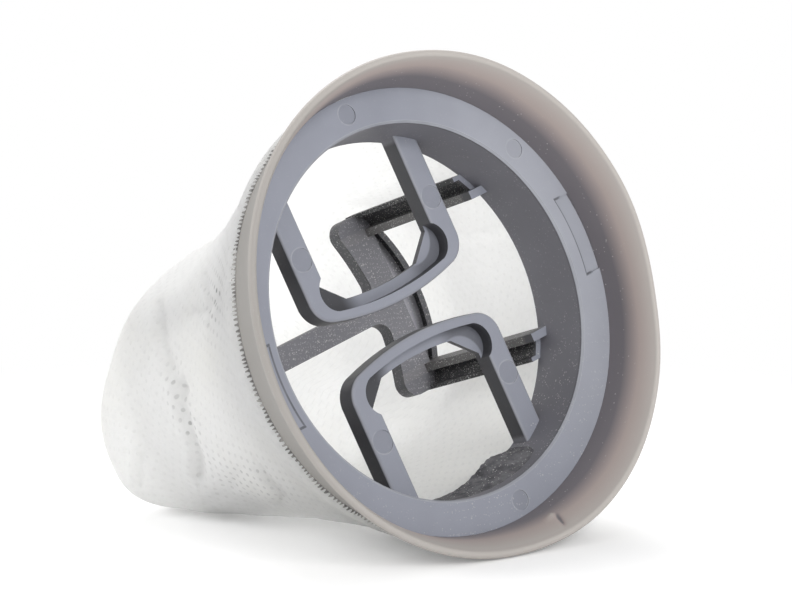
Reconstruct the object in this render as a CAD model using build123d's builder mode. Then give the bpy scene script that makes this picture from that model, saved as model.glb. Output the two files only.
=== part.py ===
import math
import os

from build123d import *

os.makedirs("parts", exist_ok=True)

# Sizes in millimetres, angles in degrees.
# The ring axis lies along the plane normal; the mouth faces +X and up by the tilt.
ring_tilt = 17.0
loop_clock = 17.2

# Ring frame: flat mouth flange and the short collar behind it.
flange_outer_radius = 43.0
flange_inner_radius = 36.2
flange_thickness = 3.0
flange_edge_break = 0.4
collar_rear_inner_radius = 35.4
collar_rear_depth = 13.0
collar_wall = 1.5

# Shallow seats sunk in the flange face, one on each side.
seat_inner_radius = 39.4
seat_half_angle = 10.8
seat_depth = 0.35

# Finger loops: two bowed bars on parallel legs inside the collar.
loop_front_depth = 8.3
loop_back_depth = 12.5
leg_outer_offset = 19.7
leg_width = 5.2
bow_middle = 3.3
bow_end_offset = 15.4
bow_end = 5.3
corner_point_offset = 18.5
corner_point = 7.1
corner_top = 10.8
hole_middle = 7.5
hole_end_offset = 10.2
hole_end = 8.4
hole_corner_offset = 13.3
hole_corner = 9.6
hole_corner_top = 12.6
ledge_depth = 2.9
ledge_wall = 2.1
scoop_top = 14.2
scoop_wide_offset = 16.5
scoop_wide = 10.9
scoop_low_offset = 13.9
scoop_low = 6.9
corner_web_top = 14.0
corner_web_end_offset = 8.2
corner_web_low = 7.2
loop_edge_break = 0.7

# Ejector marks on the flange and on the loop legs.
flange_mark_radius = 1.95
flange_mark_ring = 40.0
flange_mark_angles = (90.0, 271.0, 31.0)
leg_mark_radius = 2.3
leg_mark_height = 18.7
mark_depth = 0.15

# Cage behind the collar: four channel ribs and an end frame that holds the bag open.
cage_outer_radius = 35.8
cage_skin = 1.5
cage_back_depth = 50.5
rib_root_depth = 12.5
rib_low = 14.6
rib_high = 20.0
rib_web = 1.7
rib_web_inset = 2.6
rib_rim = 0.9
rib_rim_inset = 1.0
web_front_depth = 10.6
end_bar_front_depth = 47.0
end_floor_front_depth = 49.2
end_rim_front_depth = 47.8
end_rim_width = 1.4
end_bar_inner_middle = 23.8
end_bar_inner_end = 20.0
end_bar_outer = 29.8
end_bar_half_height = 19.8
end_bar_corner = 3.0
tie_half_width = 2.5
tie_corner = 3.0

# Lip seal: soft flared rubber round the flange edge, with points as radius and height.
lip_base_rear = 0.7
lip_base_wall = 0.5
lip_outer_middle = (45.2, 4.3)
lip_rim_centre = (47.5, 10.1)
lip_rim_radius = 0.75
lip_rim_angles = (-38.0, -ring_tilt, 25.0, 70.0, 115.0, 158.0)
lip_inner_middle = (44.32, 5.3)

# Filter bag: stations as depth, half width, half height, sag and corner fullness.
cloth = 0.7
cloth_clearance = 0.05
cloth_edge_depth = lip_base_rear + cloth_clearance
cloth_turn_depth = flange_thickness + 0.2
bag_edge_radius = flange_outer_radius + cloth_clearance + cloth
bag_stations = (
    (cloth_edge_depth, bag_edge_radius, bag_edge_radius, 0.0, 2.0),
    (cloth_turn_depth, bag_edge_radius, bag_edge_radius, 0.0, 2.0),
    (8.0, 42.2, 40.9, 0.15, 2.02),
    (13.0, 41.7, 38.8, 0.4, 2.06),
    (19.0, 41.3, 36.3, 0.8, 2.12),
    (26.0, 41.0, 33.8, 1.1, 2.2),
    (33.0, 40.9, 31.6, 1.2, 2.3),
    (39.0, 41.1, 30.3, 1.1, 2.38),
    (45.0, 41.6, 29.1, 1.0, 2.47),
    (49.5, 42.2, 28.5, 1.1, 2.52),
    (53.5, 42.5, 26.2, 2.2, 2.5),
    (58.0, 41.8, 23.2, 3.4, 2.46),
    (62.5, 38.0, 18.6, 3.0, 2.42),
    (66.0, 30.5, 13.0, 1.8, 2.34),
    (68.4, 20.0, 7.2, 0.8, 2.25),
)
bag_cuts = (
    cloth_edge_depth, cloth_turn_depth, 9.0, 16.5, 24.0, 31.0, 38.0, 42.6, 45.5, 48.4, 51.5,
    55.0, 59.0, 62.5, 65.5, 68.4,
)
bag_points = 24
bag_end_wall = 0.7

# Tuck where the cloth draws in against the end frame, and the soft folds of the pouch,
# each given as depth, angle, length, spread round and deepness; a bulge has a negative deepness.
tuck_axis_depth = 45.5
tuck_length = 2.6
tuck_deep = 1.9
tuck_angle = 186.0
tuck_spread = 34.0
fold_list = (
    (24.0, 158.0, 7.0, 18.0, 1.1),
    (15.5, 149.0, 6.0, 13.0, 0.7),
    (33.5, 150.0, 5.0, 13.0, 0.7),
    (28.0, 172.0, 5.0, 13.0, 1.0),
    (34.0, 192.0, 5.0, 12.0, 0.8),
    (31.0, 214.0, 9.0, 16.0, 0.9),
    (55.5, 212.0, 5.0, 17.0, 1.2),
    (57.0, 190.0, 7.0, 16.0, -2.0),
    (21.0, 96.0, 9.0, 18.0, 1.4),
    (36.0, 118.0, 8.0, 16.0, 1.0),
    (38.0, 62.0, 9.0, 18.0, 1.4),
    (20.0, 38.0, 8.0, 14.0, 1.0),
    (30.0, 14.0, 10.0, 15.0, 1.3),
    (34.0, 330.0, 9.0, 16.0, 1.3),
)
floor_blend = 1.2
floor_blend_run = 6.0

tilt = math.radians(ring_tilt)
axis_dir = (math.cos(tilt), 0.0, math.sin(tilt))
up_dir = (-math.sin(tilt), 0.0, math.cos(tilt))
turn = math.radians(loop_clock)

# The ring centre stands so high that the rounded rim of the lip touches the floor.
ring_height = lip_rim_centre[0] * math.cos(tilt) - lip_rim_centre[1] * math.sin(tilt) + lip_rim_radius


def bump(value, centre, spread):
    # Smooth bump, one at the centre and fading over the spread.
    return math.exp(-((value - centre) / spread) ** 2)


def angle_gap(angle, centre):
    # Signed difference between two angles, within half a turn.
    return (angle - centre + 180.0) % 360.0 - 180.0


def along(depth, column):
    # Smooth value of one station column at a depth, by cubic steps between stations.
    rows = bag_stations
    for i in range(len(rows) - 1):
        if depth <= rows[i + 1][0] + 1e-9:
            break
    before = rows[max(i - 1, 0)]
    start = rows[i]
    end = rows[i + 1]
    after = rows[min(i + 2, len(rows) - 1)]
    span = end[0] - start[0]
    t = (depth - start[0]) / span
    slope_start = (end[column] - before[column]) / (end[0] - before[0]) * span
    slope_end = (after[column] - start[column]) / (after[0] - start[0]) * span
    keep = (2 * t ** 3 - 3 * t ** 2 + 1) * start[column] + (3 * t ** 2 - 2 * t ** 3) * end[column]
    return keep + (t ** 3 - 2 * t ** 2 + t) * slope_start + (t ** 3 - t ** 2) * slope_end


def bag_section(depth, inset):
    # Closed ring of points at one depth, pulled in by the inset and kept above the floor.
    wide = along(depth, 1)
    high = along(depth, 2)
    sag = along(depth, 3)
    power = 2.0 / along(depth, 4)
    ground = (depth * math.sin(tilt) - ring_height) / math.cos(tilt) + inset
    soft = floor_blend * min(1.0, max(0.0, depth - cloth_turn_depth) / floor_blend_run)
    ring = []
    for step in range(bag_points):
        angle = 360.0 * step / bag_points
        c = math.cos(math.radians(angle))
        s = math.sin(math.radians(angle))
        near = bump(angle_gap(angle, tuck_angle), 0, tuck_spread)
        draw_in = inset + tuck_deep * bump(depth, tuck_axis_depth, tuck_length) * near
        for fold_depth, fold_angle, fold_long, fold_round, fold_deep in fold_list:
            near = bump(angle_gap(angle, fold_angle), 0, fold_round)
            fade = min(1.0, max(0.0, depth - cloth_turn_depth) / floor_blend_run)
            draw_in += fade * fold_deep * bump(depth, fold_depth, fold_long) * near
        u = (wide - draw_in) * math.copysign(abs(c) ** power, c)
        v = (high - draw_in) * math.copysign(abs(s) ** power, s)
        a = u * math.cos(turn) - v * math.sin(turn)
        b = u * math.sin(turn) + v * math.cos(turn) - sag
        b = 0.5 * (b + ground + math.sqrt((b - ground) ** 2 + soft ** 2))
        ring.append((a, b))
    return ring


# Footprint centring along X, from the lip tip to the end of the bag.
front_reach = lip_rim_centre[1] * math.cos(tilt) + lip_rim_centre[0] * math.sin(tilt) + lip_rim_radius
back_reach = max(
    depth * math.cos(tilt) + b * math.sin(tilt)
    for depth in bag_cuts
    for a, b in bag_section(depth, 0.0)
)
ring_x = 0.5 * (back_reach - front_reach)

ring_origin = (ring_x, 0.0, ring_height)
ring_plane = Plane(origin=ring_origin, x_dir=(0, 1, 0), z_dir=axis_dir)
ring_axis = Axis(ring_origin, axis_dir)
profile_plane = Plane(origin=ring_origin, x_dir=(0, 1, 0), z_dir=tuple(-c for c in up_dir))
clock_x = (-math.sin(turn) * math.sin(tilt), math.cos(turn), math.sin(turn) * math.cos(tilt))
clock_plane = Plane(origin=ring_origin, x_dir=clock_x, z_dir=axis_dir)


def at_depth(depth):
    # Clocked plane at a depth behind the flange face.
    return clock_plane.offset(-depth)


def local_depth(shape):
    # Depth of a shape's centre behind the flange face.
    return -ring_plane.to_local_coords(shape.center()).Z


def local_radius(shape):
    # Distance of a shape's centre from the ring axis.
    spot = ring_plane.to_local_coords(shape.center())
    return math.hypot(spot.X, spot.Y)


with BuildPart() as ring_frame:
    # Flange and collar, turned as one profile.
    with BuildSketch(profile_plane):
        with BuildLine():
            Polyline(
                (flange_inner_radius + flange_edge_break, 0),
                (flange_outer_radius, 0),
                (flange_outer_radius, -flange_thickness),
                (flange_inner_radius + collar_wall, -flange_thickness),
                (collar_rear_inner_radius + collar_wall, -collar_rear_depth),
                (collar_rear_inner_radius, -collar_rear_depth),
                (flange_inner_radius, -flange_edge_break),
                close=True,
            )
        make_face()
    revolve(axis=ring_axis)

    # Finger loops, cut off where they run into the collar.
    leg_inner_offset = leg_outer_offset - leg_width
    loop_reach = flange_inner_radius + 2.0 * collar_wall
    with BuildSketch(at_depth(loop_back_depth)):
        with BuildLine():
            Line((-leg_outer_offset, loop_reach), (-leg_outer_offset, corner_top))
            ThreePointArc(
                (-leg_outer_offset, corner_top),
                (-corner_point_offset, corner_point),
                (-bow_end_offset, bow_end),
            )
            ThreePointArc((-bow_end_offset, bow_end), (0, bow_middle), (bow_end_offset, bow_end))
            ThreePointArc(
                (bow_end_offset, bow_end),
                (corner_point_offset, corner_point),
                (leg_outer_offset, corner_top),
            )
            Line((leg_outer_offset, corner_top), (leg_outer_offset, loop_reach))
            Line((leg_outer_offset, loop_reach), (leg_inner_offset, loop_reach))
            Line((leg_inner_offset, loop_reach), (leg_inner_offset, hole_corner_top))
            ThreePointArc(
                (leg_inner_offset, hole_corner_top),
                (hole_corner_offset, hole_corner),
                (hole_end_offset, hole_end),
            )
            ThreePointArc((hole_end_offset, hole_end), (0, hole_middle), (-hole_end_offset, hole_end))
            ThreePointArc(
                (-hole_end_offset, hole_end),
                (-hole_corner_offset, hole_corner),
                (-leg_inner_offset, hole_corner_top),
            )
            Line((-leg_inner_offset, hole_corner_top), (-leg_inner_offset, loop_reach))
            Line((-leg_inner_offset, loop_reach), (-leg_outer_offset, loop_reach))
        make_face()
        Circle(collar_rear_inner_radius + 0.5 * collar_wall, mode=Mode.INTERSECT)
        mirror(about=Plane.XZ)
    extrude(amount=loop_back_depth - loop_front_depth)

    # Soft front edges of the loops.
    loop_edges = [
        e
        for e in ring_frame.edges()
        if abs(local_depth(e) - loop_front_depth) < 0.01
        and local_radius(e) < collar_rear_inner_radius - 0.5 * leg_width
    ]
    fillet(loop_edges, loop_edge_break)

    # Lower ledge on the hole side of each bowed bar, with scooped corners.
    with BuildSketch(at_depth(loop_front_depth)):
        with BuildLine():
            Line((leg_inner_offset, scoop_top), (-leg_inner_offset, scoop_top))
            ThreePointArc(
                (-leg_inner_offset, scoop_top),
                (-scoop_wide_offset, scoop_wide),
                (-scoop_low_offset, scoop_low),
            )
            ThreePointArc(
                (-scoop_low_offset, scoop_low),
                (0, hole_middle - ledge_wall),
                (scoop_low_offset, scoop_low),
            )
            ThreePointArc(
                (scoop_low_offset, scoop_low),
                (scoop_wide_offset, scoop_wide),
                (leg_inner_offset, scoop_top),
            )
        make_face()
        mirror(about=Plane.XZ)
    extrude(amount=-ledge_depth, mode=Mode.SUBTRACT)

    # Thin web across each corner of the holes, level with the ledge.
    with BuildSketch(at_depth(loop_back_depth)):
        for side in (1, -1):
            with BuildLine():
                Polyline(
                    (side * (leg_inner_offset + 0.5 * ledge_wall), corner_web_top),
                    (side * corner_web_end_offset, corner_web_low),
                    (side * (leg_inner_offset + 0.5 * ledge_wall), corner_web_low),
                    close=True,
                )
            make_face()
        mirror(about=Plane.XZ)
    extrude(amount=loop_back_depth - loop_front_depth - ledge_depth)

    # Channel ribs of the cage: skin, tall web and low rim.
    with BuildSketch(at_depth(cage_back_depth)):
        for side in (1, -1):
            with Locations((side * 0.5 * cage_outer_radius, 0.5 * (rib_low + rib_high))):
                Rectangle(cage_outer_radius, rib_high - rib_low)
        Circle(cage_outer_radius, mode=Mode.INTERSECT)
        Circle(cage_outer_radius - cage_skin, mode=Mode.SUBTRACT)
        mirror(about=Plane.XZ)
    extrude(amount=cage_back_depth - rib_root_depth)
    skin_inner = cage_outer_radius - cage_skin
    web_u = math.sqrt(skin_inner ** 2 - (rib_low + 0.5 * rib_web) ** 2) - rib_web_inset
    rim_u = math.sqrt(skin_inner ** 2 - (rib_high - 0.5 * rib_rim) ** 2) - rib_rim_inset
    with BuildSketch(at_depth(cage_back_depth)):
        for side in (1, -1):
            with Locations((side * (web_u + 0.5 * cage_outer_radius), rib_low + 0.5 * rib_web)):
                Rectangle(cage_outer_radius, rib_web)
        Circle(cage_outer_radius, mode=Mode.INTERSECT)
        mirror(about=Plane.XZ)
    extrude(amount=cage_back_depth - web_front_depth)
    with BuildSketch(at_depth(cage_back_depth)):
        for side in (1, -1):
            with Locations((side * (rim_u + 0.5 * cage_outer_radius), rib_high - 0.5 * rib_rim)):
                Rectangle(cage_outer_radius, rib_rim)
        Circle(cage_outer_radius, mode=Mode.INTERSECT)
        mirror(about=Plane.XZ)
    extrude(amount=cage_back_depth - rib_root_depth)

    # End frame: two bars joined by a tie across the middle.
    with BuildSketch(at_depth(cage_back_depth)) as end_bars:
        with BuildLine():
            ThreePointArc(
                (end_bar_inner_end, -end_bar_half_height),
                (end_bar_inner_middle, 0),
                (end_bar_inner_end, end_bar_half_height),
            )
            Polyline(
                (end_bar_inner_end, end_bar_half_height),
                (end_bar_outer, end_bar_half_height),
                (end_bar_outer, -end_bar_half_height),
                (end_bar_inner_end, -end_bar_half_height),
            )
        make_face()
        mirror(about=Plane.YZ)
        Rectangle(2.0 * end_bar_inner_middle + 1.0, 2.0 * tie_half_width)
        Circle(cage_outer_radius, mode=Mode.INTERSECT)
        tie_corners = [p for p in end_bars.vertices() if abs(abs(p.Y) - tie_half_width) < 0.2]
        fillet(tie_corners, tie_corner)
        bar_corners = [p for p in end_bars.vertices() if abs(abs(p.X) - end_bar_inner_end) < 0.2]
        fillet(bar_corners, end_bar_corner)
    extrude(amount=cage_back_depth - end_bar_front_depth)
    with BuildSketch(at_depth(cage_back_depth)):
        for side in (1, -1):
            with Locations((side * (end_bar_outer + 0.5 * cage_outer_radius - 0.5), 0)):
                Rectangle(cage_outer_radius, 2.0 * end_bar_half_height)
        Circle(cage_outer_radius, mode=Mode.INTERSECT)
    extrude(amount=cage_back_depth - end_floor_front_depth)
    with BuildSketch(at_depth(cage_back_depth)):
        for side in (1, -1):
            with Locations((side * (end_bar_outer + 0.5 * cage_outer_radius - 0.5), 0)):
                Rectangle(cage_outer_radius, 2.0 * end_bar_half_height)
        Circle(cage_outer_radius, mode=Mode.INTERSECT)
        Circle(cage_outer_radius - end_rim_width, mode=Mode.SUBTRACT)
    extrude(amount=cage_back_depth - end_rim_front_depth)

    # Shallow seats in the flange face and the ejector marks.
    with BuildSketch(clock_plane):
        for side in (1, -1):
            with Locations((side * flange_outer_radius, 0)):
                seat_height = 2.0 * flange_outer_radius * math.sin(math.radians(seat_half_angle))
                Rectangle(2.0 * (flange_outer_radius - seat_inner_radius) + 3.0, seat_height)
        Circle(seat_inner_radius, mode=Mode.SUBTRACT)
    extrude(amount=-seat_depth, mode=Mode.SUBTRACT)
    with BuildSketch(clock_plane):
        for angle in flange_mark_angles:
            with Locations(
                (
                    flange_mark_ring * math.cos(math.radians(angle)),
                    flange_mark_ring * math.sin(math.radians(angle)),
                )
            ):
                Circle(flange_mark_radius)
    extrude(amount=-mark_depth, mode=Mode.SUBTRACT)
    leg_middle = leg_outer_offset - 0.5 * leg_width
    with BuildSketch(at_depth(loop_front_depth)):
        with Locations(
            (leg_middle, leg_mark_height),
            (-leg_middle, leg_mark_height),
            (leg_middle, -leg_mark_height),
            (-leg_middle, -leg_mark_height),
        ):
            Circle(leg_mark_radius)
    extrude(amount=-mark_depth, mode=Mode.SUBTRACT)

ring_frame.part.label = "ring_frame"
export_step(ring_frame.part, "parts/ring_frame.step")


with BuildPart() as lip_seal:
    # Flared lip turned round the flange edge, with a rounded rim.
    with BuildSketch(profile_plane):
        with BuildLine():
            base_outer = flange_outer_radius + lip_base_wall
            rim_points = [
                (
                    lip_rim_centre[0] + lip_rim_radius * math.cos(math.radians(angle)),
                    lip_rim_centre[1] + lip_rim_radius * math.sin(math.radians(angle)),
                )
                for angle in lip_rim_angles
            ]
            ThreePointArc((base_outer, -lip_base_rear), lip_outer_middle, rim_points[0])
            Polyline(*rim_points)
            ThreePointArc(rim_points[-1], lip_inner_middle, (flange_outer_radius, 0))
            Polyline(
                (flange_outer_radius, 0),
                (flange_outer_radius, -lip_base_rear),
                (base_outer, -lip_base_rear),
            )
        make_face()
    revolve(axis=ring_axis)

lip_seal.part.label = "lip_seal"
export_step(lip_seal.part, "parts/lip_seal.step")


with BuildPart() as filter_bag:
    # Outside of the pouch.
    for depth in bag_cuts:
        with BuildSketch(ring_plane.offset(-depth)):
            with BuildLine():
                Spline(*bag_section(depth, 0.0), periodic=True)
            make_face()
    loft(ruled=True)
    # Hollow inside, the same sections drawn in by the cloth and stopped short of the end.
    for depth in bag_cuts[:-1]:
        with BuildSketch(ring_plane.offset(-depth)):
            with BuildLine():
                Spline(*bag_section(depth, cloth), periodic=True)
            make_face()
    with BuildSketch(ring_plane.offset(bag_end_wall - bag_cuts[-1])):
        with BuildLine():
            Spline(*bag_section(bag_cuts[-1], cloth), periodic=True)
        make_face()
    loft(ruled=True, mode=Mode.SUBTRACT)

filter_bag.part.label = "filter_bag"
export_step(filter_bag.part, "parts/filter_bag.step")
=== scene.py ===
import math
import bpy
import numpy as np
from mathutils import Matrix, Vector


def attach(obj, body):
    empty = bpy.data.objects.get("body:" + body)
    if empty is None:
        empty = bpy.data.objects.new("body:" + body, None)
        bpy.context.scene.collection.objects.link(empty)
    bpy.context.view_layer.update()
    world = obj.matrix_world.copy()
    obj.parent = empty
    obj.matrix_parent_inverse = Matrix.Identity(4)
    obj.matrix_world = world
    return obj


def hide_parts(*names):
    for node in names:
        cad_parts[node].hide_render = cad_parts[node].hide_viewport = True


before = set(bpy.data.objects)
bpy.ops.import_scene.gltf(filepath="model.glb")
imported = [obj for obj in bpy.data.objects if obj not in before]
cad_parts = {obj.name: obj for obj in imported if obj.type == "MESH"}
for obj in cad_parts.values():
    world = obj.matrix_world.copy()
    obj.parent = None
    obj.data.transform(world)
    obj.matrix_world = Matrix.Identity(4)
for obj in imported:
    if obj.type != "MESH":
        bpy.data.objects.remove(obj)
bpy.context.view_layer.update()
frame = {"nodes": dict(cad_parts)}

print("frame loaded:", ", ".join(frame["nodes"]))

ringSeat = {
    "centre": (21.814, 0.0, 43.2215),  # middle of the flange face, mm
    "tilt": 17.0,  # mouth looks up by this, degrees
    "clock": 17.2,  # turn of the loops in the ring plane
}
tilt = math.radians(ringSeat["tilt"])
clock = math.radians(ringSeat["clock"])
axisOut = np.array([math.cos(tilt), 0.0, math.sin(tilt)])
axisUp = np.array([-math.sin(tilt), 0.0, math.cos(tilt)])
axisSide = np.array([0.0, 1.0, 0.0])
ringCentre = np.array(ringSeat["centre"])


# centre + a along the side + b up in the ring plane + h out of the mouth, mm to metres
def ringToWorld(a, b, h):
    spot = ringCentre + a[..., None] * axisSide + b[..., None] * axisUp + h[..., None] * axisOut
    return spot * 0.001


# exp of minus the squared distance over the spread
def bump(value, centre, spread):
    return np.exp(-(((value - centre) / spread) ** 2))


# 3t^2 - 2t^3 with t clipped between low and high
def ease(value, low, high):
    t = np.clip((value - low) / (high - low), 0.0, 1.0)
    return t * t * (3.0 - 2.0 * t)


# smallest signed turn between two angles in degrees
def turnGap(angle, centre):
    return (angle - centre + 180.0) % 360.0 - 180.0


# rows by columns of points; columns join round, rows join round too, stay open or end in poles
def gridPiece(name, points, joinRows=False, pole=None, firstPole=None, uv=None, facts=None):
    rows, cols = points.shape[:2]
    index = np.arange(rows * cols).reshape(rows, cols)
    right = np.roll(index, -1, axis=1)
    low, lowRight = np.roll(index, -1, axis=0), np.roll(right, -1, axis=0)
    keepRows = rows if joinRows else rows - 1
    quads = np.stack([index, right, lowRight, low], axis=-1)[:keepRows].reshape(-1, 4)
    verts = points.reshape(-1, 3)
    corners = quads.ravel()
    starts = np.arange(len(quads)) * 4
    for tip, edge, nextEdge in ((pole, index[-1], right[-1]), (firstPole, right[0], index[0])):
        if tip is not None:
            fan = np.stack([edge, nextEdge, np.full(cols, len(verts))], axis=-1)
            starts = np.concatenate([starts, len(corners) + np.arange(cols) * 3])
            corners = np.concatenate([corners, fan.ravel()])
            verts = np.concatenate([verts, tip[None, :]])
    mesh = bpy.data.meshes.new(name)
    mesh.vertices.add(len(verts))
    mesh.vertices.foreach_set("co", verts.astype(np.float32).ravel())
    mesh.loops.add(len(corners))
    mesh.loops.foreach_set("vertex_index", corners.astype(np.int32))
    mesh.polygons.add(len(starts))
    mesh.polygons.foreach_set("loop_start", starts.astype(np.int32))
    mesh.polygons.foreach_set("use_smooth", np.ones(len(starts), dtype=bool))
    mesh.update(calc_edges=True)
    if uv is not None:
        wide = np.stack([uv[:-1, :-1], uv[:-1, 1:], uv[1:, 1:], uv[1:, :-1]], axis=2).reshape(-1, 2)
        if pole is not None:
            tip = np.stack([uv[-1, :-1], uv[-1, 1:], 0.5 * (uv[-1, :-1] + uv[-1, 1:])], axis=1)
            wide = np.concatenate([wide, tip.reshape(-1, 2)])
        mesh.uv_layers.new(name="clothMap").data.foreach_set("uv", wide.astype(np.float32).ravel())
    for key, value in (facts or {}).items():
        flat = value.ravel()
        if pole is not None:
            flat = np.append(flat, value[-1].mean())
        mesh.attributes.new(key, "FLOAT", "POINT").data.foreach_set("value", flat.astype(np.float32))
    mesh.validate()
    piece = bpy.data.objects.new(name, mesh)
    bpy.context.collection.objects.link(piece)
    return piece


# a shader value with the usual signs
class Wire:
    def __init__(self, board, socket):
        self.board = board
        self.socket = socket

    def calc(self, operation, *values):
        inputs = dict(enumerate(values))
        return self.board.put("ShaderNodeMath", {"operation": operation}, inputs)

    def __add__(self, other):
        return self.calc("ADD", self, other)

    def __radd__(self, other):
        return self.calc("ADD", other, self)

    def __sub__(self, other):
        return self.calc("SUBTRACT", self, other)

    def __rsub__(self, other):
        return self.calc("SUBTRACT", other, self)

    def __mul__(self, other):
        return self.calc("MULTIPLY", self, other)

    def __rmul__(self, other):
        return self.calc("MULTIPLY", other, self)

    def __pow__(self, other):
        return self.calc("POWER", self, other)

    def __rpow__(self, other):
        return self.calc("POWER", other, self)

    def least(self, other):
        return self.calc("MINIMUM", self, other)

    def most(self, other):
        return self.calc("MAXIMUM", self, other)

    def cosine(self):
        return self.calc("COSINE", self)

    def size(self):
        return self.calc("ABSOLUTE", self)

    # 0 below low, 1 above high, eased between
    def between(self, low, high):
        inputs = {"Value": self, "From Min": low, "From Max": high}
        return self.board.put("ShaderNodeMapRange", {"interpolation_type": "SMOOTHSTEP"}, inputs)

    # 1 below low, 0 above high, eased between
    def below(self, low, high):
        return 1.0 - self.between(low, high)

    # 0 outside start and end, 1 from full to fade
    def within(self, start, full, fade, end):
        return self.between(start, full) * self.below(fade, end)


# node tree of one material, or of the world
class Board:
    def __init__(self, name, store=bpy.data.materials):
        self.material = store.new(name)
        self.material.use_nodes = True
        self.tree = self.material.node_tree
        self.tree.nodes.clear()

    def put(self, kind, settings=None, inputs=None, output=0):
        node = self.tree.nodes.new(kind)
        for key, value in (settings or {}).items():
            if key == "stops":
                ramp = node.color_ramp.elements
                while len(ramp) < len(value):
                    ramp.new(0.5)
                for element, (place, colour) in zip(ramp, value):
                    element.position = place
                    element.color = (*colour, 1.0)
            else:
                setattr(node, key, value)
        for key, value in (inputs or {}).items():
            if isinstance(value, Wire):
                self.tree.links.new(value.socket, node.inputs[key])
            else:
                node.inputs[key].default_value = value
        return Wire(self, node.outputs[output])

    def mix(self, factor, first, second, blend="MIX"):
        pair = [(*c, 1.0) if isinstance(c, tuple) else c for c in (first, second)]
        settings = {"data_type": "RGBA", "blend_type": blend}
        return self.put("ShaderNodeMix", settings, {0: factor, 6: pair[0], 7: pair[1]}, 2)

    def vector(self, operation, first, second, output=0):
        return self.put("ShaderNodeVectorMath", {"operation": operation}, {0: first, 1: second}, output)

    def noise(self, spot, scale, detail=2.0, rough=0.5):
        inputs = {"Vector": spot, "Scale": scale, "Detail": detail, "Roughness": rough}
        return self.put("ShaderNodeTexNoise", {}, inputs)

    # scattered grains: near a cell centre, in the cells whose own number passes the share
    def grains(self, spot, scale, radius, share):
        inputs = {"Vector": spot, "Scale": scale}
        cell = self.put("ShaderNodeTexVoronoi", {}, inputs)
        own = Wire(self, cell.socket.node.outputs["Color"])
        number = self.put("ShaderNodeSeparateColor", {}, {0: own})
        return cell.below(0.4 * radius, radius) * number.between(1.0 - share, 1.02 - share)

    def objectSpot(self):
        return self.put("ShaderNodeTexCoord", {}, {}, "Object")

    def attribute(self, name):
        return self.put("ShaderNodeAttribute", {"attribute_name": name}, {}, "Fac")

    def relief(self, height, strength, distance):
        return self.put("ShaderNodeBump", {}, {"Height": height, "Strength": strength, "Distance": distance})

    def finish(self, shader, kind="ShaderNodeOutputMaterial"):
        node = self.tree.nodes.new(kind)
        self.tree.links.new(shader.socket, node.inputs["Surface"])
        return self.material


# places in the ring's own frame, in mm: out of the mouth, from the axis, and along and across the loops
def ringPlaces(board):
    spot = board.objectSpot()
    arm = board.vector("SUBTRACT", spot, tuple(ringCentre * 0.001))
    alongLoop = math.cos(clock) * axisSide + math.sin(clock) * axisUp
    acrossLoop = math.cos(clock) * axisUp - math.sin(clock) * axisSide
    ways = (axisOut, alongLoop, acrossLoop)
    height, along, across = (board.vector("DOT_PRODUCT", arm, tuple(way), 1) * 1000.0 for way in ways)
    radius = (along**2.0 + across**2.0) ** 0.5
    return spot, height, radius, along, across


plasticLook = {
    "face": (0.270, 0.282, 0.330),
    "side": (0.070, 0.070, 0.078),
    "wall": (0.190, 0.188, 0.212),
    "ribs": (0.030, 0.030, 0.033),
    "ribFace": (0.105, 0.105, 0.115),
    "ribWeb": (0.150, 0.146, 0.146),
    "endFace": (0.385, 0.382, 0.425),
    "recessShade": (0.035, 0.035, 0.040),
    "wearAndHighlight": (0.42, 0.43, 0.47),
    "mark": (0.215, 0.225, 0.265),
    "dust": (0.66, 0.65, 0.64),
    "clouding": ((0.3, (0.6, 0.6, 0.6)), (0.7, (1.0, 1.0, 1.0))),
    "rough": 0.44,
    # heights out of the mouth in mm, each eased over its pair of limits
    "onFace": (-0.7, -0.4),
    "collarTop": (-1.0, -0.3),
    "loopFace": (-9.2, -8.8, -8.2, -7.9),
    "ledge": (-11.9, -11.3, -9.6, -8.9),
    "behindCollar": (-14.0, -12.7),
    "endFrame": (-47.6, -46.6),
    # places from the axis, along and across the loops
    "hole": 36.2,
    "collar": (34.0, 35.0, 36.5, 36.8),
    "endReach": (31.5, 34.0),
    "webAcross": (14.2, 14.5, 16.35, 16.6),
    "corner": (9.8, 13.2),
    "cornerShadeFrom": (5.1, 5.6),  # distance from the corner where the painted shade begins
    "leftShade": 2.0,  # begins this much closer on the left
    "shadeAlong": (6.0, 11.0, 16.6, 17.2),
    "shadeAcross": (13.6, 14.4),
    # ejector marks: along, across and radius on the legs; angles, circle and radius on the flange
    "legMark": (17.1, 18.7, 2.3),
    "flangeMarks": (90.0, 271.0, 31.0),
    "markCircle": 40.0,
    "markRadius": 1.95,
    "seat": 39.4,  # radius of the step of the two seats
    "seatHalf": 8.05,
    "seatInward": 1.3,  # the painted dark line of the seat is this much further in on the left
}
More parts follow.
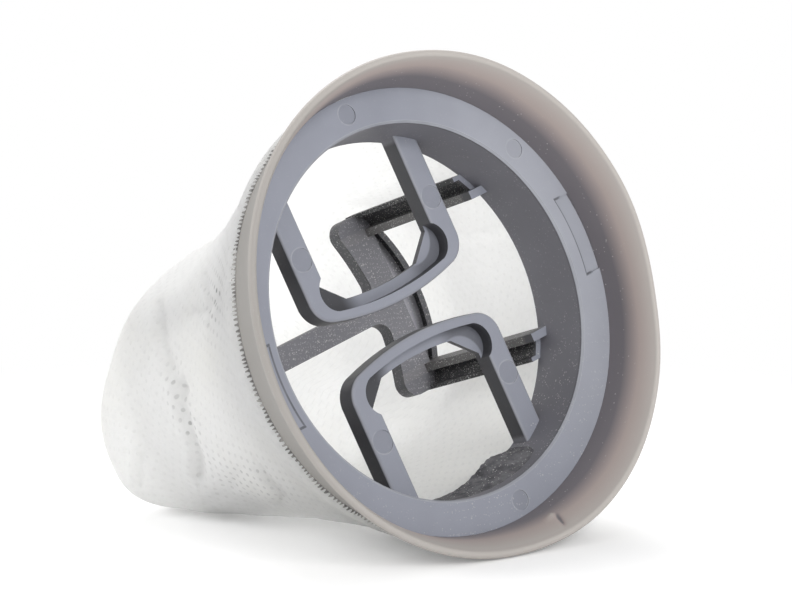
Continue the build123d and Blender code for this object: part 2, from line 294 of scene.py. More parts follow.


# painted sheen on what faces the mouth, painted shade on the sides, walls and ribs, painted shade in the
# scooped corners and along the seats, painted highlights on the edges
def greyPlastic():
    look = plasticLook
    board = Board("greyPlastic")
    spot, height, radius, along, across = ringPlaces(board)
    offMiddle, offLevel = along.size(), across.size()
    leftSide = along.below(-1.0, 1.0)
    normal = board.put("ShaderNodeTexCoord", {}, {}, "Normal")
    facing = board.vector("DOT_PRODUCT", normal, tuple(axisOut), 1)
    # painted sheen: the more a face turns to the mouth, the paler its tone; the other sides get painted
    # shade
    facingSheen = facing.between(0.25, 0.92)
    cloud = board.noise(spot, 90.0, 3.0)
    patch = board.noise(spot, 260.0, 3.0, 0.6)
    fine = board.noise(spot, 900.0, 2.0)
    onFace = height.between(*look["onFace"])
    wall = radius.within(*look["collar"]) * height.below(*look["collarTop"])
    rear = height.below(*look["behindCollar"])
    endPart = height.below(*look["endFrame"])
    tone = board.mix(facingSheen, look["side"], look["face"])
    tone = board.mix(wall * (1.0 - facingSheen), tone, look["wall"])
    # behind the collar: painted shade on the ribs, painted light on the web between their flanges
    ribTone = board.mix(facingSheen, look["ribs"], look["ribFace"])
    ribTone = board.mix(0.8 * offLevel.within(*look["webAcross"]), ribTone, look["ribWeb"])
    tone = board.mix(rear, tone, ribTone)
    # the end frame's faces towards the mouth get a paler painted sheen
    endTone = board.mix(facingSheen, look["side"], look["endFace"])
    tone = board.mix(endPart * radius.below(*look["endReach"]), tone, endTone)
    # painted shade in the scooped corners of the loops, away from the hole's edge, darker on the left
    x, y = look["corner"]
    offCorner = ((offMiddle - x) ** 2.0 + (offLevel - y) ** 2.0) ** 0.5 + look["leftShade"] * leftSide
    recessShade = offCorner.between(*look["cornerShadeFrom"]) * height.within(*look["ledge"])
    recessShade = recessShade * offMiddle.within(*look["shadeAlong"]) * offLevel.below(*look["shadeAcross"])
    tone = board.mix(recessShade * (0.55 + 0.4 * leftSide), tone, look["recessShade"])
    # ejector marks: a darker disc with a worn line round it
    marks = [(offMiddle, offLevel, *look["legMark"], height.within(*look["loopFace"]))]
    for turn in map(math.radians, look["flangeMarks"]):
        place = [look["markCircle"] * math.cos(turn), look["markCircle"] * math.sin(turn)]
        marks.append((along, across, *place, look["markRadius"], onFace))
    for first, second, x, y, size, level in marks:
        gap = ((first - x) ** 2.0 + (second - y) ** 2.0) ** 0.5
        line = gap.within(size - 0.25, size - 0.05, size + 0.05, size + 0.3) * level
        tone = board.mix(0.55 * gap.below(size - 0.1, size) * level, tone, look["mark"])
        tone = board.mix(0.5 * patch.between(0.35, 0.6) * line, tone, look["wearAndHighlight"])
    # painted sheen: paler towards the right of the flange
    tone = board.mix(0.5 * along.between(5.0, 40.0) * facingSheen * onFace, tone, look["wearAndHighlight"])
    # painted shade along the step of the two seats in the flange face, with a tick at each end
    inward = radius + look["seatInward"] * leftSide
    seat, half = look["seat"], look["seatHalf"]
    step = inward.within(seat - 0.3, seat - 0.1, seat + 0.1, seat + 0.3)
    step = step * offLevel.below(half - 0.45, half + 0.05)
    tick = offLevel.within(half - 0.35, half - 0.15, half + 0.15, half + 0.35)
    tick = tick * inward.within(seat - 0.3, seat - 0.1, seat + 1.0, seat + 2.0)
    seatShade = step.most(tick) * offMiddle.between(36.0, 37.0) * onFace
    tone = board.mix(seatShade * (0.35 + 0.6 * patch), tone, look["recessShade"])
    # painted highlight along the inner edge of the flange and the turning front edges of the loops
    hole = look["hole"]
    brink = radius.within(hole - 0.1, hole + 0.05, hole + 0.4, hole + 0.6) * onFace
    turning = facing.within(0.3, 0.6, 0.75, 0.97) * height.between(*look["loopFace"][:2]) * (1.0 - rear)
    tone = board.mix((brink + turning).least(1.0) * (0.25 + 0.5 * patch), tone, look["wearAndHighlight"])
    shade = board.put("ShaderNodeValToRGB", {"stops": look["clouding"]}, {0: cloud})
    tone = board.mix(0.22, tone, shade, "MULTIPLY")
    # pale dust: thick low on the wall and on the ribs, thin on the face
    low = across.below(-34.0, -8.0)
    spread = 0.06 + 0.94 * (wall * (0.25 + low) + rear).least(1.0) + 0.35 * low * onFace
    coarse = board.grains(spot, 1100.0, 0.26, 0.18) * (1.0 - 0.8 * endPart)
    specks = board.grains(spot, 2300.0, 0.36, 0.38).most(coarse)
    dusty = specks * spread.least(1.0) * patch.between(0.40, 0.56)
    dusty = dusty.most(board.grains(spot, 3400.0, 0.42, 0.42) * rear * (0.8 - 0.5 * endPart))
    tone = board.mix(dusty * 0.75, tone, look["dust"])
    rough = look["rough"] + 0.16 * cloud + 0.2 * dusty
    grain = board.relief(fine + 1.5 * dusty, 0.12, 0.00012)
    inputs = {"Base Color": tone, "Roughness": rough, "Normal": grain, "Specular IOR Level": 0.42}
    return board.finish(board.put("ShaderNodeBsdfPrincipled", {}, inputs))


rubberLook = {
    "deep": (0.190, 0.176, 0.190),
    "mid": (0.420, 0.355, 0.335),
    "back": (0.226, 0.217, 0.205),
    "rim": (0.45, 0.42, 0.395),
    "dust": (0.60, 0.58, 0.55),
    "rough": 0.55,
}


# the lip's tone from painted shade deep by the flange to a painted highlight on the rim, its duller outside,
# and dust in the deep part
def taupeRubber():
    look = rubberLook
    board = Board("taupeRubber")
    spot = board.objectSpot()
    tone = board.attribute("tone")
    outside = board.attribute("outside")
    cloud = board.noise(spot, 60.0, 3.0)
    fine = board.noise(spot, 1300.0, 2.0)
    # painted shade deep by the flange, rising to a painted highlight on the rim
    stops = ((0.0, look["deep"]), (0.2, look["deep"]), (0.55, look["mid"]), (1.0, look["rim"]))
    colour = board.put("ShaderNodeValToRGB", {"stops": stops}, {0: tone + 0.10 * (cloud - 0.5)})
    colour = board.mix(outside * (0.9 + 0.2 * (cloud - 0.5)), colour, look["back"])
    specks = board.grains(spot, 1500.0, 0.28, 0.16) * cloud.between(0.4, 0.6)
    colour = board.mix(specks * (0.12 + 0.6 * tone.below(0.15, 0.6)), colour, look["dust"])
    grain = board.relief(fine, 0.10, 0.0001)
    rough = look["rough"] + 0.2 * (cloud - 0.5)
    inputs = {"Base Color": colour, "Roughness": rough, "Normal": grain, "Specular IOR Level": 0.4}
    return board.finish(board.put("ShaderNodeBsdfPrincipled", {}, inputs))


clothLook = {
    "white": (0.90, 0.90, 0.895),
    "warm": (0.885, 0.88, 0.85),
    "pit": (0.80, 0.80, 0.795),
    "dirt": (0.22, 0.22, 0.22),
    "through": (0.96, 0.96, 0.95, 1.0),
    "pitch": 2.0,  # dot spacing, mm
    "mapUnit": 100.0,  # mm in one unit of the cloth map
    "glow": 0.45,  # share of light that comes through
}


# dots where two slanting cosine waves add up, dirt in the dots, painted shade in and by the creases and a
# fibrous mottle
def whiteNonwoven():
    look = clothLook
    board = Board("whiteNonwoven")
    spot = board.objectSpot()
    clothMap = board.put("ShaderNodeUVMap", {"uv_map": "clothMap"})
    acrossCloth = board.put("ShaderNodeSeparateXYZ", {}, {0: clothMap})
    alongCloth = Wire(board, acrossCloth.socket.node.outputs[1])
    turns = 2.0 * math.pi * look["mapUnit"] * math.sqrt(0.5) / look["pitch"]
    wave = ((acrossCloth + alongCloth) * turns).cosine() + ((acrossCloth - alongCloth) * turns).cosine()
    pit = wave.between(1.15, 1.75)
    blot = wave.between(0.9, 1.6)
    dirt = board.attribute("dirt")
    smudge = board.attribute("smudge")
    cloud = board.noise(spot, 45.0, 3.0)
    faint = board.noise(spot, 70.0, 2.0).between(0.42, 0.66)
    uneven = board.noise(spot, 420.0, 1.0).between(0.35, 0.62)
    mottle = board.noise(spot, 620.0, 4.0, 0.7)
    fibre = board.noise(spot, 1500.0, 3.0, 0.65)
    colour = board.mix(cloud.between(0.4, 0.75), look["white"], look["warm"])
    colour = board.mix(pit * (0.06 + 0.42 * faint), colour, look["pit"])
    colour = board.mix(0.55 * mottle.between(0.42, 0.72), colour, look["pit"])
    colour = board.mix((blot * dirt * (0.5 + 0.6 * uneven)).least(1.0) * 0.85, colour, look["dirt"])
    # painted shade in the crease valleys and at spots by the creases
    colour = board.mix(smudge * (0.2 + 0.6 * mottle), colour, look["dirt"])
    grain = board.relief(0.4 * fibre - 0.8 * pit, 0.35, 0.0003)
    inputs = {"Base Color": colour, "Roughness": 0.86, "Normal": grain, "Specular IOR Level": 0.2}
    cloth = board.put("ShaderNodeBsdfPrincipled", {}, inputs)
    through = board.put("ShaderNodeBsdfTranslucent", {}, {"Color": look["through"], "Normal": grain})
    return board.finish(board.put("ShaderNodeMixShader", {}, {0: look["glow"], 1: cloth, 2: through}))


plastic = greyPlastic()
rubber = taupeRubber()
nonwoven = whiteNonwoven()
print("materials ready")

ringNode = frame["nodes"]["ring_frame"]
ringNode.data.materials.clear()
ringNode.data.materials.append(plastic)

lipShape = {
    "flange": 43.0,
    "gap": 0.02,  # clear of the flange edge
    "baseRear": -0.4,
    "baseWall": 0.3,
    "outerMiddle": (44.9, 4.2),
    "innerMiddle": (44.32, 5.3),
    "rimCentre": (47.5, 10.1),
    "rimRadius": 0.75,
    "rimTurn": (-38.0, 158.0),
    "steps": (26, 17, 30),  # points along the outside, the rim and the inside
    # soft edge out of round: angle in the ring plane, rim radius
    "rimRound": (
        (7.0, 47.0), (20.0, 47.9), (45.0, 48.2), (70.0, 48.2), (80.0, 47.9), (92.0, 47.5), (114.0, 47.3),
        (140.0, 47.3), (172.0, 47.0), (190.0, 47.1), (215.0, 47.6), (235.0, 48.0), (255.0, 48.2),
        (278.0, 48.2), (292.0, 48.7), (302.0, 48.8), (316.0, 48.6), (330.0, 47.9), (341.0, 47.5),
        (355.0, 46.6),
    ),
    "smoothing": 51,  # columns that the rim radius is smoothed over
    "columns": 720,
    "nick": (285.2, 290.0, 6.0, 0.45),  # angles of the small cut, its height and deepness
    # tone of the inside by height: painted shade near the flange, painted highlight toward the rim
    "faceTone": ((0.0, 0.0), (3.0, 0.12), (5.5, 0.36), (8.0, 0.60), (9.6, 0.82), (10.4, 0.97)),
    # painted light along the bottom, painted shade at the top: angle, spread, change of tone
    "toneTurns": ((262.0, 30.0, 0.24), (100.0, 24.0, -0.14)),
    "dullRim": (180.0, 55.0, 0.6),  # the painted rim highlight taken down to the outside's tone on the left: angle, spread, share
}


# circle through three points, walked from the first to the last
def arcThrough(first, middle, last, count):
    p, q, r = (np.array(x) for x in (first, middle, last))
    rows = np.stack([q - p, r - p])
    reach = 0.5 * np.array([(q @ q) - (p @ p), (r @ r) - (p @ p)])
    centre = np.linalg.solve(rows, reach)
    start, end = (np.arctan2(*(x - centre)[::-1]) for x in (p, r))
    end = start + (end - start + np.pi) % (2.0 * np.pi) - np.pi
    turn = np.linspace(start, end, count)
    return centre + np.hypot(*(p - centre)) * np.stack([np.cos(turn), np.sin(turn)], axis=-1)


# profile of radius and height turned round the axis; the free edge is pushed to the rim's own radius
def flaredLip():
    shape = lipShape
    outerSteps, rimSteps, innerSteps = shape["steps"]
    turn = np.radians(np.linspace(*shape["rimTurn"], rimSteps))
    rim = np.array(shape["rimCentre"]) + shape["rimRadius"] * np.stack([np.cos(turn), np.sin(turn)], axis=-1)
    rear = (shape["flange"] + shape["baseWall"], shape["baseRear"])
    seatRadius = shape["flange"] + shape["gap"]
    outer = arcThrough(rear, shape["outerMiddle"], rim[0], outerSteps)
    inner = arcThrough(rim[-1], shape["innerMiddle"], (seatRadius, 0.0), innerSteps)
    seat = np.array([[seatRadius, 0.5 * shape["baseRear"]], [seatRadius, shape["baseRear"]]])
    profile = np.concatenate([outer, rim[1:-1], inner, seat])
    frontStart = len(outer) + rimSteps - 2
    front = (np.arange(len(profile)) >= frontStart)[:, None]
    faceTone = np.interp(inner[:, 1], *np.array(shape["faceTone"]).T)
    tone = np.concatenate([np.ones(frontStart), faceTone, np.zeros(len(seat))])[:, None]
    outside = np.zeros((len(profile), 1))
    outside[: len(outer), 0] = 1.0 - 0.8 * ease(outer[:, 1], 7.6, 9.64)
    angle = np.linspace(0.0, 360.0, shape["columns"], endpoint=False)[None, :]
    radius, height = profile[:, 0][:, None], profile[:, 1][:, None]
    stops = np.array(shape["rimRound"])
    rimAt = np.interp(angle[0], stops[:, 0], stops[:, 1], period=360.0)
    kernel = np.hanning(shape["smoothing"])
    rimAt = np.convolve(np.tile(rimAt, 3), kernel / kernel.sum(), mode="same")
    push = rimAt[shape["columns"] : 2 * shape["columns"]] - shape["rimCentre"][0] - shape["rimRadius"]
    radius = radius + push[None, :] * ease(height, -0.5, 10.5)
    # small cut at the lower right: a pale raised wedge, then a dark slit that runs out to the edge
    start, stop, level, deep = shape["nick"]
    wedge = ease(angle, start, stop) * (1.0 - ease(angle, stop, stop + 0.8))
    wedge = wedge * bump(height, level - 0.5 * wedge, 0.75)
    slit = bump(angle, stop + 0.4 - 0.68 * (height - level), 0.55)
    slit = slit * ease(height, 5.3, 6.2) * (1.0 - ease(height, 8.2, 10.0))
    radius = radius + deep * (slit - wedge) * front
    height = height + 0.0 * angle
    turned = np.radians(angle)
    points = ringToWorld(radius * np.cos(turned), radius * np.sin(turned), height)
    points[..., 2] = np.maximum(points[..., 2], 0.0)
    # painted shadow in the slit, and a paler raised wedge
    tone = tone + (0.45 * wedge - 0.55 * slit) * front
    # painted light along the bottom of the inside, painted shade at its top
    for place, spread, change in shape["toneTurns"]:
        tone = tone + change * bump(turnGap(angle, place), 0.0, spread) * front * (tone < 0.9)
    # less of the painted rim highlight on the left
    place, spread, share = shape["dullRim"]
    dull = share * ease(tone, 0.7, 0.95) * bump(turnGap(angle, place), 0.0, spread)
    facts = {"tone": np.clip(tone, 0.0, 1.0), "outside": np.maximum(outside, dull)}
    return gridPiece("flaredLip", points, joinRows=True, facts=facts)


lip = flaredLip()
lip.data.materials.append(rubber)
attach(lip, "root")
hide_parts("lip_seal")
print("lip turned")

pouchShape = {
    # depth, half width, half height, sag, corner fullness
    "stations": (
        (0.35, 43.2, 43.2, 0.0, 2.0), (0.75, 43.6, 43.6, 0.0, 2.0), (3.2, 43.7, 43.7, 0.0, 2.0),
        (8.0, 42.2, 40.9, 0.15, 2.02),
        (13.0, 41.7, 38.8, 0.4, 2.06), (19.0, 41.3, 36.3, 0.8, 2.12), (26.0, 41.0, 33.8, 1.1, 2.2),
        (33.0, 40.9, 31.6, 1.2, 2.3), (39.0, 41.1, 30.3, 1.1, 2.38), (45.0, 41.6, 29.1, 1.0, 2.47),
        (49.5, 42.2, 28.5, 1.1, 2.52), (53.5, 42.5, 26.2, 2.2, 2.5), (58.0, 41.8, 23.2, 3.4, 2.46),
        (62.5, 38.0, 18.6, 3.0, 2.42), (66.0, 30.5, 13.0, 1.8, 2.34), (68.4, 20.0, 7.2, 0.8, 2.25),
        (69.0, 8.0, 2.8, 0.4, 2.1),
    ),
    "end": 69.0,
    "rows": 170,
    "columns": 480,
    "seam": 300.0,  # where the grid closes, on the underside
    "inset": 0.05,
    "grip": (3.2, 6.0),  # depth where the cloth comes free, and over how much more it is loose
    "closing": (63.0, 68.5),  # depths over which the fine folds fade out at the closed end
    "perDegree": 0.70,  # mm round the pouch
    # tuck at the end frame, then the soft folds: depth, angle, length, spread round, deepness
    "softFolds": (
        (45.5, 186.0, 4.0, 34.0, 0.9), (24.0, 158.0, 7.0, 18.0, 1.1), (15.5, 149.0, 6.0, 13.0, 0.7),
        (33.5, 150.0, 5.0, 13.0, 0.7), (28.0, 172.0, 5.0, 13.0, 1.0), (34.0, 192.0, 5.0, 12.0, 0.8),
        (31.0, 214.0, 9.0, 16.0, 0.9), (55.5, 212.0, 5.0, 17.0, 1.2), (57.0, 190.0, 8.0, 18.0, -1.4),
        (21.0, 96.0, 9.0, 18.0, 1.4), (36.0, 118.0, 8.0, 16.0, 1.0), (38.0, 62.0, 9.0, 18.0, 1.4),
        (20.0, 38.0, 8.0, 14.0, 1.0), (30.0, 14.0, 10.0, 15.0, 1.3), (34.0, 330.0, 9.0, 16.0, 1.3),
    ),
    # sharp creases: path of depth and angle, width of the valley, deepness, lift beside it
    "creases": (
        (((38.5, 134.0), (35.8, 142.5), (33.0, 153.8), (30.6, 164.8), (29.5, 170.0)), 1.5, 0.55, 0.40),
        (((29.5, 170.0), (30.5, 176.8), (31.3, 182.5), (32.6, 188.2), (37.4, 197.0)), 1.4, 0.80, 0.45),
        (((18.4, 138.0), (15.0, 149.2), (14.2, 157.0)), 0.9, 0.35, 0.30),
        (((22.5, 148.0), (16.0, 151.0), (9.0, 151.0)), 1.3, 0.35, 0.25),
        (((49.0, 184.0), (53.0, 192.2)), 1.1, 0.45, 0.25),
        (((16.0, 199.0), (18.6, 210.5), (26.0, 218.0)), 1.4, 0.40, 0.30),
        (((24.0, 198.0), (34.0, 206.0), (44.0, 210.0)), 1.8, 0.30, 0.25),
        (((12.0, 100.0), (22.0, 94.0), (34.0, 97.0)), 1.8, 0.25, 0.20),
        (((30.0, 62.0), (40.0, 58.0), (47.0, 64.0)), 1.8, 0.25, 0.20),
        (((22.0, 10.0), (32.0, 15.0), (42.0, 12.0)), 1.8, 0.25, 0.20),
        (((26.0, 334.0), (36.0, 328.0), (44.0, 331.0)), 1.8, 0.25, 0.20),
    ),
    # dirt in the dots, then painted shade at spots by the creases: depth, angle, length, spread round,
    # amount
    "dirt": ((10.5, 150.0, 5.5, 8.0, 1.0), (31.0, 177.0, 2.6, 13.0, 1.0), (24.0, 203.0, 11.0, 10.0, 0.6)),
    "creaseShades": ((17.0, 205.0, 2.2, 6.0, 0.45), (7.0, 152.0, 4.0, 6.0, 0.30)),
}


# cubic steps between the stations, slopes from the neighbours on both sides
def stationValue(depth, column):
    rows = np.array(pouchShape["stations"])
    knots, values = rows[:, 0], rows[:, column]
    before = np.maximum(np.arange(len(knots)) - 1, 0)
    after = np.minimum(np.arange(len(knots)) + 1, len(knots) - 1)
    slopes = (values[after] - values[before]) / (knots[after] - knots[before])
    place = np.clip(np.searchsorted(knots, depth) - 1, 0, len(knots) - 2)
    span = knots[place + 1] - knots[place]
    t = (depth - knots[place]) / span
    keep = (2 * t**3 - 3 * t**2 + 1) * values[place] + (3 * t**2 - 2 * t**3) * values[place + 1]
    return keep + span * ((t**3 - 2 * t**2 + t) * slopes[place] + (t**3 - t**2) * slopes[place + 1])


# sum of soft spots, each a bump along the depth times a bump round
def softSpots(depth, angle, spots):
    total = np.zeros(depth.shape)
    for place, turn, length, spread, amount in spots:
        total = total + amount * bump(depth, place, length) * bump(turnGap(angle, turn), 0.0, spread)
    return total


# distance in mm from a path of depth and angle, and the side of the path
def pathDistance(depth, angle, path):
    stops = np.array(path)
    scale = pouchShape["perDegree"]
    best = np.full(depth.shape, np.inf)
    side = np.zeros(depth.shape)
    for first, last in zip(stops[:-1], stops[1:]):
        middle = 0.5 * (first[1] + last[1])
        px, py = first[0], scale * first[1]
        stepX, stepY = last[0] - px, scale * last[1] - py
        x, y = depth - px, scale * (turnGap(angle, middle) + middle) - py
        t = np.clip((x * stepX + y * stepY) / (stepX**2 + stepY**2), 0.0, 1.0)
        gap = np.hypot(x - t * stepX, y - t * stepY)
        closer = gap < best
        best = np.where(closer, gap, best)
        side = np.where(closer, np.sign(x * stepY - y * stepX), side)
    return best, side


# rounded box sections along the depth, drawn in by folds and creases, resting on the floor
def filterPouch():
    shape = pouchShape
    reach = np.linspace(0.0, 1.0, shape["rows"])
    start = shape["stations"][0][0]
    depth = start + (shape["end"] - start) * (1.0 - (1.0 - reach) ** 1.25)
    angle = np.linspace(0.0, 360.0, shape["columns"], endpoint=False) + shape["seam"]
    depth, angle = np.meshgrid(depth, angle, indexing="ij")
    wide, high, sag = (stationValue(depth, k) for k in (1, 2, 3))
    power = 2.0 / stationValue(depth, 4)
    gripEnd, gripFade = shape["grip"]
    loose = np.clip((depth - gripEnd) / gripFade, 0.0, 1.0)
    rad = np.radians(angle)
    fine = np.zeros(depth.shape)
    valley = np.zeros(depth.shape)
    for path, width, deep, lift in shape["creases"]:
        gap, side = pathDistance(depth, angle, path)
        fine = fine + deep * bump(gap, 0.0, width) - lift * bump(gap, 1.9 * width, 1.2 * width) * (side > 0)
        valley = np.maximum(valley, deep * bump(gap, 0.0, 0.8 * width))
    # slow unevenness of soft cloth
    fine = fine + 0.16 * np.sin(3.0 * rad + depth / 9.0) * np.sin(depth / 5.3 + 2.0 * rad)
    fine = fine + 0.10 * np.sin(9.0 * rad - depth / 3.7) * np.sin(depth / 2.9 + 1.0)
    fine = fine * (1.0 - ease(depth, *shape["closing"]))
    drawIn = shape["inset"] + loose * (softSpots(depth, angle, shape["softFolds"]) + fine)
    c, s = np.cos(rad), np.sin(rad)
    u = (wide - drawIn) * np.sign(c) * np.abs(c) ** power
    v = (high - drawIn) * np.sign(s) * np.abs(s) ** power
    a = u * math.cos(clock) - v * math.sin(clock)
    b = u * math.sin(clock) + v * math.cos(clock) - sag
    # the floor as seen in the ring plane, met softly where the cloth is loose
    ground = (depth * math.sin(tilt) - ringCentre[2]) / math.cos(tilt) + 0.1
    b = 0.5 * (b + ground + np.sqrt((b - ground) ** 2 + (1.2 * loose) ** 2))
    points = ringToWorld(a, b, -depth)
    # cloth map in tenths of a metre: distance round and distance along
    loop = np.concatenate([points, points[:, :1]], axis=1)
    around = np.cumsum(np.linalg.norm(np.diff(loop, axis=1), axis=-1), axis=1)
    around = np.concatenate([np.zeros((len(points), 1)), around], axis=1)
    down = np.cumsum(np.linalg.norm(np.diff(loop, axis=0), axis=-1), axis=0).mean(axis=1)
    down = np.concatenate([[0.0], down])[:, None] + np.zeros_like(around)
    uv = np.stack([around - 0.5 * around[:, -1:], down], axis=-1) * 10.0
    dirt = 0.06 + softSpots(depth, angle, shape["dirt"])
    # painted shade: spots by the creases and the crease valleys
    smudge = softSpots(depth, angle, shape["creaseShades"]) + 0.42 * valley
    facts = {"dirt": np.clip(dirt, 0.0, 1.0), "smudge": np.clip(smudge, 0.0, 1.0)}
    return gridPiece("filterPouch", points, pole=points[-1].mean(axis=0), uv=uv, facts=facts)


pouch = filterPouch()
pouch.data.materials.append(nonwoven)
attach(pouch, "root")
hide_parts("filter_bag")

gripShape = {
    "teeth": 316,
    "perTooth": 6,
    "start": 0.32,  # depth where the comb leaves the lip
    "length": 1.3,
    "proud": 0.07,
    # section of a tooth: share of its length, share of its rise
    "section": ((0.0, -0.8), (0.0, 0.6), (0.45, 1.0), (0.85, 0.9), (1.0, 0.45), (1.0, -0.8), (0.5, -0.9)),
    "under": ((0.3, 43.15), (0.75, 43.56), (3.2, 43.66)),  # depth and radius of the cloth below it
    "longTeeth": (166.0, 7.0, 0.9),  # angle, spread, how much longer
    "dark": (0.150, 0.145, 0.140),
    "pale": (0.36, 0.35, 0.335),
}


# band round the cloth edge whose free edge is a comb: long where the tooth wave is up
def gripComb():
    shape = gripShape
    columns = shape["teeth"] * shape["perTooth"]
    angle = np.linspace(0.0, 2.0 * np.pi, columns, endpoint=False)[None, :]
    wobble = 1.3 * np.sin(23.0 * angle) + 0.9 * np.sin(61.0 * angle + 1.0)
    tooth = ease(np.cos(shape["teeth"] * angle + wobble), -0.1, 0.5)
    vary = 0.70 + 0.22 * np.sin(5.0 * angle + 1.0) * np.sin(13.0 * angle)
    vary = vary + 0.26 * np.sin(41.0 * angle + 2.0 * np.sin(9.0 * angle))
    place, spread, extra = shape["longTeeth"]
    longer = 1.0 + extra * bump(turnGap(np.degrees(angle), place), 0.0, spread)
    reach, rise = np.array(shape["section"]).T[:, :, None]
    depth = shape["start"] + shape["length"] * reach * (0.12 + 0.88 * tooth * vary * longer)
    radius = np.interp(depth, *np.array(shape["under"]).T) + shape["proud"] * rise
    points = ringToWorld(radius * np.cos(angle), radius * np.sin(angle), -depth)
    points[..., 2] = np.maximum(points[..., 2], 0.0)
    return gridPiece("gripComb", points, joinRows=True)


def combPlastic():
    board = Board("combPlastic")
    cloud = board.noise(board.objectSpot(), 320.0, 3.0)
    colour = board.mix(cloud.between(0.40, 0.62), gripShape["dark"], gripShape["pale"])
    grain = board.relief(cloud, 0.15, 0.0001)
    inputs = {"Base Color": colour, "Roughness": 0.6 + 0.1 * cloud, "Normal": grain}
    return board.finish(board.put("ShaderNodeBsdfPrincipled", {}, inputs))


comb = gripComb()
comb.data.materials.append(combPlastic())
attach(comb, "root")
print("grip comb added")

driftShape = {
    "turn": (258.0, 310.0),  # ring angles, degrees
    "depth": (2.2, 13.3),
    "wall": ((0.4, 36.2), (13.0, 35.4)),  # depth and radius of the collar wall
    # angle and thickness at its rear
    "thick": (
        (258.0, 0.0), (270.0, 0.35), (281.0, 0.8), (288.0, 1.35), (294.0, 2.1),
        (299.0, 2.45), (303.0, 1.7), (307.0, 0.5), (310.0, 0.0),
    ),
    "sunk": 0.35,  # back side, inside the wall
    "rows": 44,
    "columns": 150,
    "dark": (0.085, 0.085, 0.092),
    "pale": (0.190, 0.188, 0.200),
}


# dust on the collar wall: wall radius less a rounded mound with small lumps, back side just inside the wall
def dustDrift():
    shape = driftShape
    down = np.linspace(0.0, 1.0, shape["rows"])[None, :]
    angle = np.linspace(*shape["turn"], shape["columns"])[:, None]
    depth = np.linspace(*shape["depth"], shape["rows"])[None, :] + 0.0 * angle
    wallRadius = np.interp(depth, *np.array(shape["wall"]).T)
    heap = np.interp(angle, *np.array(shape["thick"]).T)
    mound = heap * ease(down, 0.0, 0.85) * (1.0 - 0.6 * ease(down, 0.93, 1.0))
    lumps = 0.07 * np.sin(angle * 1.1) * np.sin(depth * 1.3)
    lumps = lumps + 0.05 * np.sin(angle * 2.3 + depth) * np.sin(depth * 2.7)
    radius = wallRadius - mound * (1.0 + lumps) + 0.12 * (1.0 - np.minimum(1.0, 3.0 * mound))
    hidden = wallRadius + shape["sunk"]
    turned = np.radians(angle)
    face = ringToWorld(radius * np.cos(turned), radius * np.sin(turned), -depth)
    behind = ringToWorld(hidden * np.cos(turned), hidden * np.sin(turned), -depth)
    loop = np.concatenate([face, behind[:, ::-1]], axis=1)
    return gridPiece("dustDrift", loop, pole=loop[-1].mean(axis=0), firstPole=loop[0].mean(axis=0))


def greyDust():
    board = Board("greyDust")
    spot = board.objectSpot()
    cloud = board.noise(spot, 350.0, 4.0, 0.7)
    fuzz = board.noise(spot, 2600.0, 3.0, 0.7)
    colour = board.mix(cloud.between(0.30, 0.70), driftShape["dark"], driftShape["pale"])
    specks = board.grains(spot, 2100.0, 0.34, 0.34).most(board.grains(spot, 1000.0, 0.24, 0.14))
    colour = board.mix(specks * 0.75, colour, plasticLook["dust"])
    grain = board.relief(fuzz + cloud + specks, 0.4, 0.0002)
    inputs = {"Base Color": colour, "Roughness": 0.9, "Normal": grain, "Specular IOR Level": 0.15}
    return board.finish(board.put("ShaderNodeBsdfPrincipled", {}, inputs))


drift = dustDrift()
drift.data.materials.append(greyDust())
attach(drift, "root")
print("dust laid")

studio = {
    "floor": (0.93, 0.93, 0.93),
    "floorLevel": -0.0002,
    "floorLift": 0.16,  # glow of the floor for the camera alone
    "shadowReach": (0.07, 0.20),  # metres from the middle where the floor turns plain white
    "ambient": 0.52,
    # place, power and width of each lamp
    "lamps": {
        "keyLamp": ((1.0, -0.10, 0.55), 6.6, 0.7),
        "rearLamp": ((-0.55, 0.25, 0.85), 6.5, 0.8),
        "leftLamp": ((-0.50, -0.85, 0.50), 5.1, 0.6),
    },
    "aim": (0.0, 0.0, 0.04),
}
plainWhite = (1.0, 1.0, 1.0, 1.0)


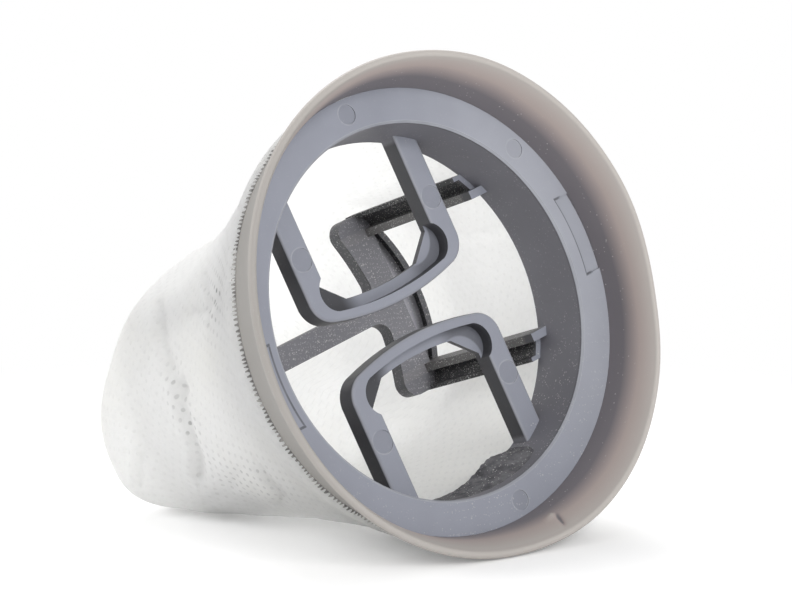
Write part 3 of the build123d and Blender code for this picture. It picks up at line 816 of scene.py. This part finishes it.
# white floor: near the object it keeps the shadow, further off the camera sees plain white
def paleFloor():
    spotBelow = (0.0, 0.0, studio["floorLevel"])
    bpy.ops.mesh.primitive_grid_add(x_subdivisions=2, y_subdivisions=2, size=40.0, location=spotBelow)
    floor = bpy.context.object
    floor.name = "paleFloor"
    board = Board("paleFloor")
    path = board.put("ShaderNodeLightPath", {}, {}, "Is Camera Ray")
    away = board.put("ShaderNodeVectorMath", {"operation": "LENGTH"}, {0: board.objectSpot()}, 1)
    base = board.put("ShaderNodeBsdfDiffuse", {}, {"Color": (*studio["floor"], 1.0)})
    lift = board.put("ShaderNodeEmission", {}, {"Color": plainWhite, "Strength": studio["floorLift"] * path})
    near = board.put("ShaderNodeAddShader", {}, {0: base, 1: lift})
    white = board.put("ShaderNodeEmission", {}, {"Color": plainWhite})
    share = path * away.between(*studio["shadowReach"])
    whole = board.put("ShaderNodeMixShader", {}, {0: share, 1: near, 2: white})
    floor.data.materials.append(board.finish(whole))


def softLamp(name, place, power, width):
    lamp = bpy.data.lights.new(name, "AREA")
    lamp.shape = "DISK"
    lamp.size = width
    lamp.energy = power
    holder = bpy.data.objects.new(name, lamp)
    holder.location = place
    aim = Vector(studio["aim"]) - Vector(place)
    holder.rotation_euler = aim.to_track_quat("-Z", "Y").to_euler()
    bpy.context.collection.objects.link(holder)


# the camera, reflections and clear parts see plain white, the object gets the ambient level
def paleWorld():
    board = Board("paleWorld", bpy.data.worlds)
    path = board.put("ShaderNodeLightPath", {}, {}, "Is Camera Ray")
    rays = path.socket.node.outputs
    glossy, through = (Wire(board, rays[kind]) for kind in ("Is Glossy Ray", "Is Transmission Ray"))
    strength = studio["ambient"] + (1.0 - studio["ambient"]) * path.most(glossy).most(through)
    backdrop = board.put("ShaderNodeBackground", {}, {"Color": plainWhite, "Strength": strength})
    bpy.context.scene.world = board.finish(backdrop, "ShaderNodeOutputWorld")


paleFloor()
paleWorld()
for name, settings in studio["lamps"].items():
    softLamp(name, *settings)
print("studio lit")

eye = {
    "place": (0.40633, -0.29588, 0.11175),
    "right": (0.598405, 0.801194, 0.0),
    "up": (-0.111505, 0.083282, 0.990268),
    "forward": (-0.793396, 0.592582, -0.139173),
    "lens": 118.18,
}
lensData = bpy.data.cameras.new("photoEye")
lensData.sensor_fit = "HORIZONTAL"
lensData.sensor_width = 36.0
lensData.lens = eye["lens"]
lensData.clip_start = 0.01
camera = bpy.data.objects.new("photoEye", lensData)
back = [-x for x in eye["forward"]]
turned = Matrix((eye["right"], eye["up"], back)).transposed().to_4x4()
camera.matrix_world = Matrix.Translation(eye["place"]) @ turned
bpy.context.collection.objects.link(camera)
bpy.context.scene.camera = camera
bpy.context.scene.view_settings.view_transform = "Standard"

print("scene ready")
